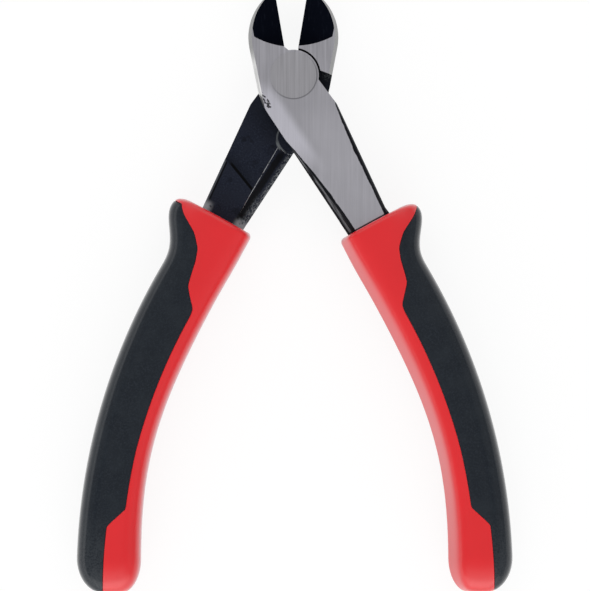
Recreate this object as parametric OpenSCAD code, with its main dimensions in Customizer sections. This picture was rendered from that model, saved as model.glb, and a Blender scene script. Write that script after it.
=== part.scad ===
// Diagonal cutting pliers: two like forged levers in a riveted lap joint, with two-part moulded grips.
// One lever is drawn closed, with its jaw on the left and its arm on the right. The rear half of the tool
// is the same set of pieces turned half round about the long axis. The tool lies flat and half open.
// +Z is the pivot axis, +Y points to the jaw tips, and the origin is on the rear ground face at the pivot.

/* [Head] */
// Width of the closed head
head_w = 19.3; // [17:0.1:22]
// Thickness of the head between its two ground faces
head_t = 10; // [8:0.1:12]
// Distance from the pivot to the jaw tips
jaw_len = 21.6; // [19:0.1:22.2]
// Radius of the outer curve of each jaw
nose_r = 14; // [13.6:0.1:18]
// Distance from the pivot to the start of the outer curve
nose_start = 9.1; // [8.5:0.1:11]
// Distance from the pivot to the throat end of the cutting edges
edge_start = 7.5; // [7.2:0.1:9]
// Gap that each cutting edge leaves at the throat when the tips meet
edge_relief = 0.35; // [0.1:0.05:0.6]
// Gap that each jaw leaves at its tip in the closed tool
tip_gap = 0.03; // [0.01:0.01:0.1]
// Distance of the closed cutting line from the tool's axis, towards the front lever's jaw
edge_shift = 0.5; // [0:0.1:0.8]
// Distance of the outer ends of the cutting bevels from the tool's axis, closed
bevel_w = 7.9; // [7:0.1:8.5]
// Rise of the lower end of the bevel from the edge to its outer corner
bevel_rise = 4; // [2:0.1:5]
// Radius of the wall that ends the bevels there
bevel_end_r = 20; // [9:0.5:30]
// Inset of the outer side at the faces, as forging draft
draft_w = 0.9; // [0.3:0.1:1.5]
// Width of the straight band along the parting line of that side
parting_w = 0.8; // [0.4:0.1:1.5]

/* [Joint] */
// Diameter of the flush rivet heads
rivet_d = 11.6; // [9:0.1:12]
// Diameter of the rivet shank
shank_d = 7; // [5:0.1:8]
// Depth of each countersunk rivet head
rivet_head_h = 2.4; // [1:0.1:3]
// Diameter of the round boss of each lever in the lap
boss_d = 12.9; // [12.4:0.1:13.4]
// Gap between the boss and the other lever's jaw
boss_gap = 0.5; // [0.3:0.05:0.7]
// Radial clearance of the rivet in both levers
rivet_gap = 0.05; // [0.02:0.01:0.1]
// Gap between the two lap faces
lap_gap = 0.06; // [0.02:0.01:0.2]
// Height of the stop shoulder above the pivot, at the tool's axis
stop_h = 3.6; // [3.2:0.1:5]
// Slope of the stop shoulder
stop_slope = 10; // [5:1:20]
// Angle between the levers in the pose shown
open_angle = 22; // [0:1:42]

/* [Arms] */
// Depth below the pivot at which the side of the head turns into the arm
flank_drop = 4.9; // [3:0.1:6]
// Radius of that turn
flank_r = 20; // [10:1:30]
// Angle below the horizontal at which the arm leaves the boss
shoulder_angle = 21; // [18:1:30]
// Distance of the neck from the tool's axis
neck_x = 9.4; // [8.5:0.1:10.5]
// Depth of the neck below the pivot
neck_drop = 9.3; // [8:0.1:12]
// Width of the arm where it enters the grip
arm_w = 11.7; // [9:0.1:12]
// Distance of the arm's middle outside the grip's middle line there
arm_shift = 1.6; // [0:0.1:2]
// Extra thickness of the arm past the step on its mating side
arm_step = 2.5; // [1:0.1:3.5]
// Depth below the pivot of the inner end of that step
step_drop = 31; // [28:0.5:35]
// Angle of the step to the horizontal
step_angle = 40; // [20:1:50]
// Width of the bevel along the inner edge of the mating side, beside its round land
mate_bevel_top_w = 4.4; // [3:0.1:5]
// Width of that bevel at the grip
mate_bevel_w = 2.9; // [2:0.1:4]
// Slope of that bevel
mate_bevel_slope = 27; // [15:1:35]
// Radius of the round land that the bevel starts from
land_r = 4.2; // [3.5:0.1:6]
// Depth below the pivot of the middle of that land
land_drop = 16.5; // [12:0.5:18]
// Distance of the middle of the land inside the arm's edge
land_inset = 2; // [0.5:0.1:2.5]
// Depth below the pivot at which the inner edge of the ground face starts to fall away
inner_chamfer_drop = 18.5; // [12:0.5:25]
// Width of that chamfer at the grip
inner_chamfer_w = 2.3; // [1:0.1:3.5]
// Slope of that chamfer
inner_chamfer_slope = 40; // [25:1:45]
// Width of the chamfer on the outer edge of that face at the grip
outer_chamfer_w = 0.9; // [0.4:0.1:1.5]
// Distance by which that chamfer, as it gets narrower upwards, misses the neck
outer_chamfer_miss = 0.04; // [0.02:0.01:0.3]
// Slope of that chamfer
outer_chamfer_slope = 50; // [30:1:60]
// Length of the full section of the arm above the grip
collar_len = 4; // [2:0.5:6]
// Length of the tang inside the grip
tang_len = 72; // [50:1:85]
// Width of the tang at its end
tang_w = 6; // [4:0.1:7]
// Length over which the arm keeps its outer edge inside the grip
tang_seat_len = 3; // [2:0.1:4]
// Length of the shoulder below, where it narrows
tang_shoulder_len = 7.5; // [5:0.1:9]
// Distance of the tang's outer edge from the middle line below the shoulder
tang_reach = 3.2; // [2:0.1:3.5]

/* [Grips] */
// Length of a grip along its middle line
grip_len = 100; // [90:1:108]
// Radius of the grip's middle line
spine_r = 148.4; // [140:1:170]
// Distance of the middle line from the tool's axis at its widest, closed
spine_x = 25; // [23:0.5:28]
// Depth of that widest place below the pivot
spine_drop = 106.4; // [104:0.5:112]
// Length of the middle line above the widest place
grip_rise = 67.9; // [66:0.1:69]
// Width of a grip in front view
grip_w = 16; // [15:0.1:18]
// Thickness of a grip at its ends
grip_t = 15.6; // [15:0.1:18]
// Extra thickness of a grip at half length
grip_swell = 1.4; // [0:0.1:3]
// Depth of the wave on the inner side, to each way
wave_h = 0.5; // [0:0.1:1]
// Length of that wave
wave_len = 75; // [60:1:90]
// Distance of its crest from the top of the grip
wave_crest = 25; // [15:1:35]
// Draw-in of the inner side at the top
top_in = 1; // [0:0.1:1.2]
// Length over which that runs out
top_in_run = 13; // [8:0.5:20]
// Reach of the thumb guard past the outer side
guard_h = 6.4; // [4:0.1:8]
// Distance of the guard's tip from the top of the grip
guard_s = 2.4; // [2:0.1:4]
// Length over which the guard runs out
guard_run = 15.5; // [10:0.5:18]
// Length at the top over which the sections are tilted
tilt_len = 20; // [15:1:30]
// Rounding of the top edge
top_r = 1.2; // [0.5:0.1:1.3]
// Distance by which the left grip's collar stands higher on its arm than the middle line starts
left_lift = 1.3; // [0:0.1:2]
// The same for the right grip
right_lift = -0.5; // [-1:0.1:1]
// Length of the rounded lower end
end_len = 9; // [6:0.1:10.5]
// Draw-in of the outer side at the lower end
end_out = 7; // [4:0.1:7]
// Draw-in of the inner side at the lower end
end_in = 5; // [2:0.1:6]
// Draw-in of the front and back at the lower end
end_t = 5; // [3:0.1:6]
// Thickness of the soft cover
cover_t = 2; // [1:0.1:2.5]
// Distance of the cover's upper end from the top of the grip
cover_top = 1.7; // [1.6:0.1:4]
// Distance of the cover's lower end from the end of the grip
cover_tail = 0.6; // [0.5:0.1:3]
// Distance by which the colour line is further out on the ground-face side than on average
split_skew = 1; // [0:0.1:1.5]
// Gap round the tang in its pocket
pocket_gap = 0.1; // [0.05:0.01:0.3]
// Gap between the cover and the sleeve
cover_gap = 0.08; // [0.05:0.01:0.2]

/* [Hidden] */
$fn = 96;

// Overrun of every cut
overrun = 1;
// Run of the step at the ends of the cover's seat
seat_run = 0.12;

// Tilt of the top of the grip, as a share of the distance across it
tilt_share = 0.15;
// Widening of a pocket's mouth, as a share of the collar's lift, because the arm gets wider upwards
mouth_share = 0.1;
// Sharpness of the guard's run-out
guard_sharpness = 1.7;
// Exponent of the grip's rounded-square sections
section_power = 3;
// Colour line: share of the grip's length, and share of half its width towards the outer side
split_shares = [[0.017, 1.66], [0.03, 1.5], [0.038, 1.36], [0.063, 0.79], [0.092, 0.42], [0.123, 0.25],
                [0.16, 0.13], [0.182, 0.05], [0.2, -0.15], [0.226, -0.44], [0.245, -0.475], [0.62, -0.34],
                [0.773, -0.33], [0.813, 0.04], [0.845, 0.22], [1, 0.28]];
// Stations along the grip, as shares of its length, between the rounded ends
station_shares = [0.02, 0.024, 0.04, 0.052, 0.064, 0.078, 0.092, 0.108, 0.124, 0.142, 0.162, 0.182, 0.2,
                  0.226, 0.245, 0.3, 0.37, 0.44, 0.5, 0.56, 0.62, 0.69, 0.74, 0.773, 0.793, 0.813, 0.829,
                  0.845, 0.865, 0.885];
// Angles of the rings that round the ends
end_angles = [0, 22, 42, 60, 75, 90];
// Steps round the covered and round the bare part of a ring
ring_half = 15;
// Distance kept from the colour line where there is no seat, as a share of a step
off_line_share = 0.25;

half_t = head_t / 2;
half_w = head_w / 2;
boss_r = boss_d / 2;
seat_r = boss_r + boss_gap;
lap_z = lap_gap / 2;
nose_mid = [nose_r - half_w, nose_start];
half_angle = open_angle / 2;
flank = [-half_w, -flank_drop];
neck = [neck_x, -neck_drop];

// Unit vector, and the normal on the left of the way from p to q
function unit(v) = v / norm(v);
function left_of(p, q) = let(d = unit(q - p)) [-d.y, d.x];
// Point of the line from p to q at height y
function at_height(p, q, y) = p + (q - p) * (y - p.y) / (q.y - p.y);
function raised(p, z) = [p.x, p.y, z];
function clamp(v, low, high) = max(low, min(high, v));

// Middle line of the grip: point at distance s from its top, moved outwards by off
function spine(s, off) =
    let(a = (grip_rise - s) / spine_r * 180 / PI)
    [spine_x - spine_r + (spine_r + off) * cos(a), (spine_r + off) * sin(a) - spine_drop];

// Edges of the tang, which carries on from the arm, as distances from the middle line
tang_root = tang_seat_len + tang_shoulder_len;
function tang_in(s) = lookup(s, [[0, arm_shift - arm_w / 2], [tang_len, -tang_w / 2]]);
function tang_out(s) = lookup(s, [[0, arm_shift + arm_w / 2], [tang_seat_len, arm_shift + arm_w / 2],
                                  [tang_root, tang_reach], [tang_len, tang_w / 2]]);
tang_stations = concat([0, tang_seat_len, tang_root], [for (share = [0.2:0.1:1]) share * tang_len]);

arm_in = spine(0, tang_in(0));
arm_out = spine(0, tang_out(0));
arm_lean = atan2(arm_in.x - flank.x, flank.y - arm_in.y);
arm_inward = left_of(flank, arm_in);
collar_in = arm_in + unit(flank - arm_in) * collar_len;
land_edge = at_height(flank, arm_in, -land_drop);
land_mid = land_edge + arm_inward * land_inset;
ridge_top = land_edge + arm_inward * mate_bevel_top_w;
ridge_end = collar_in + arm_inward * mate_bevel_w;
step_in = at_height(ridge_top, ridge_end, -step_drop);

// Solid that planes an edge off. The piece lies on the left of the way from p to q and has a level face
// at z. The plane leaves that face wp inside p and wq inside q, and falls outwards at the slope.
module edge_cut(p, q, wp, wq, z, slope) {
    inward = left_of(p, q);
    a = raised(p + inward * wp, z);
    b = raised(q + inward * wq, z);
    fall = [-inward.x * cos(slope), -inward.y * cos(slope), -sin(slope)];
    out = unit(cross(fall, b - a)) * head_t;
    corners = [a - fall * overrun, a + fall * head_t, b + fall * head_t, b - fall * overrun];
    polyhedron(points = concat(corners, [for (c = corners) c + out]),
               faces = [[0, 1, 2, 3], [7, 6, 5, 4], [0, 4, 5, 1], [1, 5, 6, 2], [2, 6, 7, 3], [3, 7, 4, 0]]);
}

// Same cut on the face that looks the other way
module edge_cut_below(p, q, wp, wq, z, slope) mirror([0, 0, 1]) edge_cut(p, q, wp, wq, -z, slope);

// Outline of the jaw, from the level of the pivot to the tip, with its edge shifted towards the outer side
module jaw_outline(shift) intersection() {
    union() {
        translate(nose_mid) circle(nose_r);
        translate([-half_w, 0]) square([half_w, nose_start]);
    }
    polygon([[-head_w, 0], [0, 0], [0, boss_r], [-edge_relief - shift, edge_start],
             [-tip_gap - shift, jaw_len], [-head_w, jaw_len]]);
}

// Outline of the half-thickness plate: head side, arm and tang
module plate_outline() {
    blend = flank_r * tan(arm_lean / 2);
    blend_mid = flank + [flank_r, blend];
    circle(boss_r);
    polygon(concat(
        [[0, 0], [-half_w, nose_start / 2]],
        [for (share = [0:0.125:1]) blend_mid - flank_r * [cos(arm_lean * share), sin(arm_lean * share)]],
        [for (s = tang_stations) spine(s, tang_in(s))],
        [for (i = [len(tang_stations) - 1:-1:0]) spine(tang_stations[i], tang_out(tang_stations[i]))],
        [neck, boss_r * [cos(shoulder_angle), -sin(shoulder_angle)]]));
}

// Part of the plan on the grip's side of the step and outside the ridge of the mating bevel, which ends the
// rest at the collar
module past_step() {
    away = [cos(step_angle), sin(step_angle)] * grip_len;
    lead = unit(ridge_top - ridge_end) * overrun;
    polygon([step_in, step_in + away, step_in + away - [0, grip_len], spine(tang_len, -grip_w),
             collar_in - arm_inward * mate_bevel_w + lead, ridge_end + lead]);
}

// Part of the plan of the jaw that has the full thickness
module jaw_block_outline(shift) difference() {
    jaw_outline(shift);
    circle(seat_r);
    polygon([[0, stop_h], [-head_w, stop_h - head_w * tan(stop_slope)], [-head_w, -head_w], [0, -head_w]]);
}

// Both cutting bevels, which end at a round wall towards the joint
module cutting_bevel(shift) {
    width = bevel_w - shift;
    foot = [-shift, edge_start];
    corner = [-bevel_w, edge_start + bevel_rise];
    mid_rise = sqrt(pow(bevel_end_r, 2) - pow(norm(corner - foot) / 2, 2));
    wall_mid = (foot + corner) / 2 - left_of(foot, corner) * mid_rise;
    intersection() {
        edge_cut([-shift, 0], [-shift, jaw_len + overrun], width, width, half_t, atan(half_t / width));
        translate([wall_mid.x, wall_mid.y, 0]) cylinder(r = bevel_end_r, h = head_t);
    }
}

// Section of what the draft takes off, from the parting band to past one face
module draft_section() {
    start = parting_w / 2;
    past = draft_w * overrun / (half_t - start);
    polygon([[nose_r, start], [nose_r + overrun, start], [nose_r + overrun, half_t + overrun],
             [nose_r - draft_w - past, half_t + overrun]]);
}

// Draft of the outer side of the head: round the nose, then straight down
module head_draft() translate(nose_mid) {
    rotate([0, 0, 90]) rotate_extrude(angle = 90) draft_section();
    mirror([1, 0, 0]) rotate([90, 0, 0]) linear_extrude(nose_start + neck_drop) draft_section();
}

// Bore and countersink of the rivet, or the rivet itself, over one half of the thickness
module rivet_half(gap, rise) {
    neck_z = half_t - rivet_head_h;
    cylinder(r = shank_d / 2 + gap, h = half_t);
    translate([0, 0, neck_z])
        cylinder(r1 = shank_d / 2 + gap, r2 = rivet_d / 2 + gap, h = rivet_head_h);
    translate([0, 0, half_t]) cylinder(r = rivet_d / 2 + gap, h = rise);
}

// Lever with its edge shifted towards the outer side
module lever(shift) difference() {
    union() {
        translate([0, 0, lap_z]) linear_extrude(half_t - lap_z) {
            plate_outline();
            jaw_outline(shift);
        }
        translate([0, 0, -half_t]) linear_extrude(head_t) jaw_block_outline(shift);
        translate([0, 0, -arm_step]) linear_extrude(arm_step + half_t) intersection() {
            plate_outline();
            past_step();
        }
    }
    for (side = [0, 1]) mirror([0, 0, side]) {
        cutting_bevel(shift);
        head_draft();
    }
    edge_cut(arm_out, neck, outer_chamfer_w, -outer_chamfer_miss, half_t, outer_chamfer_slope);
    edge_cut(at_height(flank, arm_in, -inner_chamfer_drop), arm_in, 0, inner_chamfer_w, half_t,
             inner_chamfer_slope);
    difference() {
        edge_cut_below(land_edge, collar_in, mate_bevel_top_w, mate_bevel_w, lap_z, mate_bevel_slope);
        translate([land_mid.x, land_mid.y, 0]) cylinder(r = land_r, h = head_t);
    }
    rivet_half(rivet_gap, overrun);
}

// Round-over of an end: 0 where it starts and 1 at the end itself
function round_over(u) = 1 - sqrt(1 - pow(clamp(u, 0, 1), 2));
function end_cut(s) = round_over((s - grip_len + end_len) / end_len);
function top_cut(s) = top_r * round_over((top_r - s) / top_r);

// Half sizes of the grip's section at s: to the outer side, to the inner side and to front and back
function guard(s) =
    s < guard_s ? guard_h - guard_s * round_over((guard_s - s) / guard_s) :
    guard_h * pow((1 + cos(180 * min(1, (s - guard_s) / guard_run))) / 2, guard_sharpness);
function reach_out(s) = grip_w / 2 + guard(s) - end_out * end_cut(s) - top_cut(s);
function top_draw(s) = top_in * pow(max(0, 1 - s / top_in_run), 2);
function wave(s) = wave_h * cos(360 * (s - wave_crest) / wave_len);
function reach_in(s) = grip_w / 2 + wave(s) - end_in * end_cut(s) - top_cut(s) - top_draw(s);
function reach_t(s) = (grip_t + grip_swell * sin(180 * s / grip_len)) / 2 - end_t * end_cut(s) - top_cut(s);

// Point of the grip at s, off across and z in depth. The sections at the top are tilted, and the whole top is
// lifted up the arm.
function grip_point(s, off, z, lift) =
    raised(spine(s + (tilt_share * off - lift) * max(0, 1 - s / tilt_len), off), z);

// Point of the section's outline at an angle from the outer side, drawn in by inset
function bent(v) = sign(v) * pow(abs(v), 2 / section_power);
function section_point(s, a, inset, lift) =
    grip_point(s, ((cos(a) > 0 ? reach_out(s) : reach_in(s)) - inset) * bent(cos(a)),
               (reach_t(s) - inset) * bent(sin(a)), lift);

// Angle at which the colour line crosses the section, on the ground-face side (+1) or the other (-1)
function split_off(s, side) = lookup(s / grip_len, split_shares) * grip_w / 2 + side * split_skew;
function split_angle(s, side, gap) =
    let(off = split_off(s, side) + gap,
        share = clamp(off / (off > 0 ? reach_out(s) : reach_in(s)), -1, 1))
    side * acos(sign(share) * pow(abs(share), section_power / 2));

cover_end = grip_len - cover_tail;
function covered(s) = clamp(s, cover_top, cover_end);
function has_cover(s) = s >= cover_top && s <= cover_end;
// Share of the way from one angle to another for point i of half a ring. Where the sleeve has no seat, the
// points keep off the colour line, so that none coincide.
function ring_share(s, i) =
    let(off_share = has_cover(s) ? 0 : off_line_share)
    (i + off_share) / (ring_half + 2 * off_share);
// Angle of point i of the covered part of the ring, and of its bare part
function covered_angle(s, i, gap) =
    let(from = split_angle(covered(s), -1, gap), to = split_angle(covered(s), 1, gap))
    from + (to - from) * ring_share(s, i);
function bare_angle(s, i) =
    let(from = split_angle(covered(s), 1, 0), to = 360 + split_angle(covered(s), -1, 0))
    from + (to - from) * ring_share(s, i);

stations = concat(
    [for (a = end_angles) top_r * (1 - cos(a))],
    [for (share = station_shares) share * grip_len],
    [for (a = end_angles) grip_len - end_len * (1 - sin(a))]);
cover_stations = concat(
    [cover_top + cover_gap],
    [for (s = stations) if (s > cover_top + seat_run && s < cover_end - seat_run) s],
    [cover_end - cover_gap]);
sleeve_stations = concat(
    [for (s = stations) if (s < cover_top - seat_run - seat_run) s],
    [cover_top - seat_run, cover_top],
    [for (s = stations) if (s > cover_top + seat_run && s < cover_end - seat_run) s],
    [cover_end, cover_end + seat_run],
    [for (s = stations) if (s > cover_end + seat_run + seat_run) s]);
pocket_stations = concat(tang_stations, [tang_len + pocket_gap]);

// Triangles of a skin over rings of n points each. Rings follow each other, and a ring closes on itself.
// From point "turn" of a ring on, the diagonals run the other way.
function skin(rings, n, turn) = [
    for (k = [0:rings - 2], i = [0:n - 1])
        let(a = k * n + i, b = k * n + (i + 1) % n, c = b + n, d = a + n)
        each (i < turn ? [[a, b, c], [a, c, d]] : [[a, b, d], [b, c, d]])];
// Fan that closes a ring round a middle point
function fan(first, n, middle) = [for (i = [0:n - 1]) [first + i, middle, first + (i + 1) % n]];
function turned(faces) = [for (f = faces) [f[2], f[1], f[0]]];

// Ring of the sleeve's outside: its seat under the cover, then its bare part
function sleeve_ring(s, lift) =
    let(inset = has_cover(s) ? cover_t + cover_gap : 0)
    concat([for (i = [0:ring_half]) section_point(s, covered_angle(s, i, 0), inset, lift)],
           [for (i = [0:ring_half]) section_point(s, bare_angle(s, i), 0, lift)]);

// Ring of the pocket: a square of as many points, stretched to the tang with a gap round it
function square_share(v) = clamp(v * sqrt(2), -1, 1);
function pocket_ring(s, n, gap, lift) =
    let(low = tang_in(s) - gap, high = tang_out(s) + gap, floor_z = -arm_step - gap, roof_z = half_t + gap)
    [for (i = [0:n - 1])
        let(a = 360 * i / n - 90)
        grip_point(s, (low + high) / 2 + (high - low) / 2 * square_share(cos(a)),
                   (floor_z + roof_z) / 2 + (roof_z - floor_z) / 2 * square_share(sin(a)), lift)];

// Hard sleeve: a moulding with a seat for the cover and a pocket for the tang
module sleeve(lift) {
    n = 2 * ring_half + 2;
    outer = [for (i = [len(sleeve_stations) - 1:-1:0]) sleeve_ring(sleeve_stations[i], lift)];
    mouth = lift > 0 ? [pocket_ring(0, n, pocket_gap + mouth_share * lift, lift)] : [];
    inner = [for (s = pocket_stations) pocket_ring(s, n, pocket_gap, min(lift, 0))];
    rings = concat(outer, mouth, inner);
    count = len(rings);
    polyhedron(
        points = concat([for (r = rings) each r],
                        [grip_point(grip_len, 0, 0, 0), grip_point(tang_len + pocket_gap, 0, 0, 0)]),
        faces = concat(skin(count, n, n), fan(0, n, count * n),
                       turned(fan((count - 1) * n, n, count * n + 1))));
}

// Soft cover: a shell round the outer side, from colour line to colour line
module cover(lift) {
    n = 2 * ring_half + 2;
    rings = [for (s = cover_stations)
        concat([for (i = [0:ring_half]) section_point(s, covered_angle(s, i, cover_gap), 0, lift)],
               [for (i = [ring_half:-1:0]) section_point(s, covered_angle(s, i, cover_gap), cover_t, lift)])];
    count = len(rings);
    last = (count - 1) * n;
    cap = [for (i = [0:ring_half - 1])
        let(a = i, b = i + 1, c = n - 2 - i, d = n - 1 - i)
        each [[a, b, c], [a, c, d]]];
    polyhedron(points = [for (r = rings) each r],
               faces = concat(turned(skin(count, n, ring_half + 1)), cap,
                              turned([for (f = cap) f + [last, last, last]])));
}

// Places of the two halves in the pose shown
module front_half() translate([0, 0, half_t]) rotate([0, 0, half_angle]) children();
module rear_half() translate([0, 0, half_t]) rotate([0, 0, -half_angle]) rotate([0, 180, 0]) children();

module front_lever() color([0.42, 0.42, 0.44]) front_half() lever(edge_shift);
module rear_lever() color([0.16, 0.18, 0.2]) rear_half() lever(-edge_shift);
module pivot_rivet() color([0.57, 0.57, 0.6]) translate([0, 0, half_t]) {
    rivet_half(0, 0);
    mirror([0, 0, 1]) rivet_half(0, 0);
}
module right_grip_sleeve() color([0.86, 0.18, 0.2]) front_half() sleeve(right_lift);
module right_grip_cover() color([0.13, 0.16, 0.18]) front_half() cover(right_lift);
module left_grip_sleeve() color([0.86, 0.18, 0.2]) rear_half() sleeve(left_lift);
module left_grip_cover() color([0.13, 0.16, 0.18]) rear_half() cover(left_lift);

front_lever();
rear_lever();
pivot_rivet();
right_grip_sleeve();
right_grip_cover();
left_grip_sleeve();
left_grip_cover();
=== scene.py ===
"""Looks of the diagonal cutting pliers: levers, rivet and two-part grips, lying half open on a white floor."""

import math

import bmesh
import bpy
import numpy as np
from mathutils import Matrix, Vector


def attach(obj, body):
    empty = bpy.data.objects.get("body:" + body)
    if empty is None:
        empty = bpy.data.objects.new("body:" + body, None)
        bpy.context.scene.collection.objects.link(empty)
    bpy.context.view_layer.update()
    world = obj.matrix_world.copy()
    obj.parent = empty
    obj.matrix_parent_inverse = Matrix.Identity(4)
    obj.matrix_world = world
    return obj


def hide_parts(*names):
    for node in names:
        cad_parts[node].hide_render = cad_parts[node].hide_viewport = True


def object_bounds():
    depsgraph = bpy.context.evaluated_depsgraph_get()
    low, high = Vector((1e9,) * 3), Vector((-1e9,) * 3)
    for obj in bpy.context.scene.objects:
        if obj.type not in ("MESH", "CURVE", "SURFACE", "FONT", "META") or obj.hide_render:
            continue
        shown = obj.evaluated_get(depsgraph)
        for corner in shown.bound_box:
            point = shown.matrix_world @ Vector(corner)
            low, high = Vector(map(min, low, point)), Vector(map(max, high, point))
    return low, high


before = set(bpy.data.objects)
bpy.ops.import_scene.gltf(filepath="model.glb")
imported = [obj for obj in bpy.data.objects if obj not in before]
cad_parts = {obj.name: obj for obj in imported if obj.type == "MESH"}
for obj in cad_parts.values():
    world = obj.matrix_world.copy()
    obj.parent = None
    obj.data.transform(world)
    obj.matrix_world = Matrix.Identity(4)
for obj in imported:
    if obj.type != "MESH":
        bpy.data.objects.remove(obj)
cad_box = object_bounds()
scene = bpy.context.scene
MM = 0.001

# Sizes of the tool, in millimetres and degrees, as in the part's own source
HALF_T = 5.0
HALF_W = 9.65
HALF_ANGLE = 11.0
RIVET_R = 5.8
FLANK_DROP = 4.9
NECK = (9.4, -9.3)
ARM_W = 11.7
ARM_SHIFT = 1.6
ARM_STEP = 2.5
STEP_IN = (4.63, -31.0)
STEP_ANGLE = 40.0
LAND_R = 4.2
LAND_DROP = 16.5
LAND_INSET = 2.0
TANG_LEN = 72.0
TANG_W = 6.0
TANG_SEAT_LEN = 3.0
TANG_SHOULDER_LEN = 7.5
TANG_ROOT = TANG_SEAT_LEN + TANG_SHOULDER_LEN
TANG_REACH = 3.2
GRIP_LEN = 100.0
SPINE_R = 148.4
SPINE_X = 25.0
SPINE_DROP = 106.4
GRIP_RISE = 67.9
GRIP_W = 16.0
GRIP_T = 15.6
GRIP_SWELL = 1.33
WAVE_H = 0.5
WAVE_LEN = 75.0
WAVE_CREST = 25.0
TOP_IN = 1.0
TOP_IN_RUN = 13.0
GUARD_H = 6.4
GUARD_S = 2.4
GUARD_RUN = 15.5
GUARD_SHARPNESS = 1.7
TILT_LEN = 20.0
TILT_SHARE = 0.15
TOP_R = 1.2
LEFT_LIFT = 1.3
RIGHT_LIFT = -0.5
MOUTH_SHARE = 0.1
END_LEN = 9.0
END_OUT = 7.0
END_IN = 5.0
END_T = 5.0
COVER_T = 2.0
COVER_TOP = 1.7
COVER_TAIL = 0.6
COVER_END = GRIP_LEN - COVER_TAIL
SPLIT_SKEW = 1.0
POCKET_GAP = 0.1
POCKET_END = TANG_LEN + POCKET_GAP
COVER_GAP = 0.08
SEAT_RUN = 0.12
SECTION_POWER = 3
SPLIT_SHARES = [(0.017, 1.66), (0.03, 1.5), (0.038, 1.36), (0.063, 0.79), (0.092, 0.42), (0.123, 0.25),
                (0.16, 0.13), (0.182, 0.05), (0.2, -0.15), (0.226, -0.44), (0.245, -0.475), (0.62, -0.34),
                (0.78, -0.33), (0.829, 0.21), (1, 0.28)]

# Detail that only the visible pieces have: rounded seams, a colour line with its bends evened out over a short
# stretch, the facet of the red mouldings, and rivet heads that hide their clearance
SEAM_R = 0.12
SPLIT_SMOOTH = 0.35
FACET_W = 2.5
FACET_FOOT = 0.3
FACET_SHARPNESS = 8
RIVET_SPREAD = 1.0075

# How finely the grips are drawn: EDGE_PLACES are points beside a rounded edge, in shares of its radius, and take up
# no more than EDGE_SHARE of an arc. Other stations stay EDGE_CLEAR away from a rounded edge.
STATION_STEP = 0.7
SPLIT_SAMPLES = 11
ARC_SAMPLES = 700
BARE_COUNT = 92
SEAT_COUNT = 64
END_STEPS = np.radians(np.linspace(0, 90, 15))
EDGE_STEPS = np.radians(np.linspace(0, 90, 5))
EDGE_PLACES = np.array([0.0, 0.08, 0.25, 0.5, 0.75, 1.0, 1.6])
EDGE_SHARE = 0.3
EDGE_CLEAR = 1.5 * SEAM_R
SEAM_ANGLE = 0.02
POCKET_SHARES = np.linspace(0.2, 1, 17)
SLEEVE_SHARP = 40
COVER_SHARP = 60
TINY = 1e-9
WELD = 1e-7

FRONT = Matrix.Translation((0, 0, HALF_T * MM)) @ Matrix.Rotation(math.radians(HALF_ANGLE), 4, "Z")
REAR = (Matrix.Translation((0, 0, HALF_T * MM)) @ Matrix.Rotation(math.radians(-HALF_ANGLE), 4, "Z")
        @ Matrix.Rotation(math.pi, 4, "Y"))


def add_object(name, data):
    obj = bpy.data.objects.new(name, data)
    scene.collection.objects.link(obj)
    return obj


# Shapes of a grip, as in the part's own source: s runs along it, off across it from its middle line

def spine(s, off):
    a = (GRIP_RISE - s) / SPINE_R
    return (SPINE_X - SPINE_R + (SPINE_R + off) * np.cos(a), (SPINE_R + off) * np.sin(a) - SPINE_DROP)


def round_over(u):
    return 1 - math.sqrt(1 - min(max(u, 0.0), 1.0) ** 2)


def end_cut(s):
    return round_over((s - GRIP_LEN + END_LEN) / END_LEN)


def top_cut(s):
    return TOP_R * round_over((TOP_R - s) / TOP_R)


def guard(s):
    if s < GUARD_S:
        return GUARD_H - GUARD_S * round_over((GUARD_S - s) / GUARD_S)
    run = min(1.0, (s - GUARD_S) / GUARD_RUN)
    return GUARD_H * ((1 + math.cos(math.pi * run)) / 2) ** GUARD_SHARPNESS


def reach_out(s):
    return GRIP_W / 2 + guard(s) - END_OUT * end_cut(s) - top_cut(s)


def reach_in(s):
    wave = WAVE_H * math.cos(2 * math.pi * (s - WAVE_CREST) / WAVE_LEN)
    draw = TOP_IN * max(0.0, 1 - s / TOP_IN_RUN) ** 2
    return GRIP_W / 2 + wave - END_IN * end_cut(s) - top_cut(s) - draw


def reach_t(s):
    swell = GRIP_SWELL * math.sin(math.pi * s / GRIP_LEN)
    return (GRIP_T + swell) / 2 - END_T * end_cut(s) - top_cut(s)


def grip_points(s, off, z, lift):
    along = s + (TILT_SHARE * off - lift) * max(0.0, 1 - s / TILT_LEN)
    x, y = spine(along, off)
    return np.stack([x, y, z], axis=-1)


def split_off(s, side):
    shares = np.array(SPLIT_SHARES)
    near = np.linspace(-SPLIT_SMOOTH, SPLIT_SMOOTH, SPLIT_SAMPLES)
    share = np.interp((s + near) / GRIP_LEN, shares[:, 0], shares[:, 1]).mean()
    return share * GRIP_W / 2 + side * SPLIT_SKEW


def split_angle(s, side, gap):
    off = split_off(s, side) + gap
    share = off / (reach_out(s) if off > 0 else reach_in(s))
    share = min(max(share, -1.0), 1.0)
    return side * math.acos(math.copysign(abs(share) ** (SECTION_POWER / 2), share))


def bent(v):
    return np.sign(v) * np.abs(v) ** (2 / SECTION_POWER)


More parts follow.
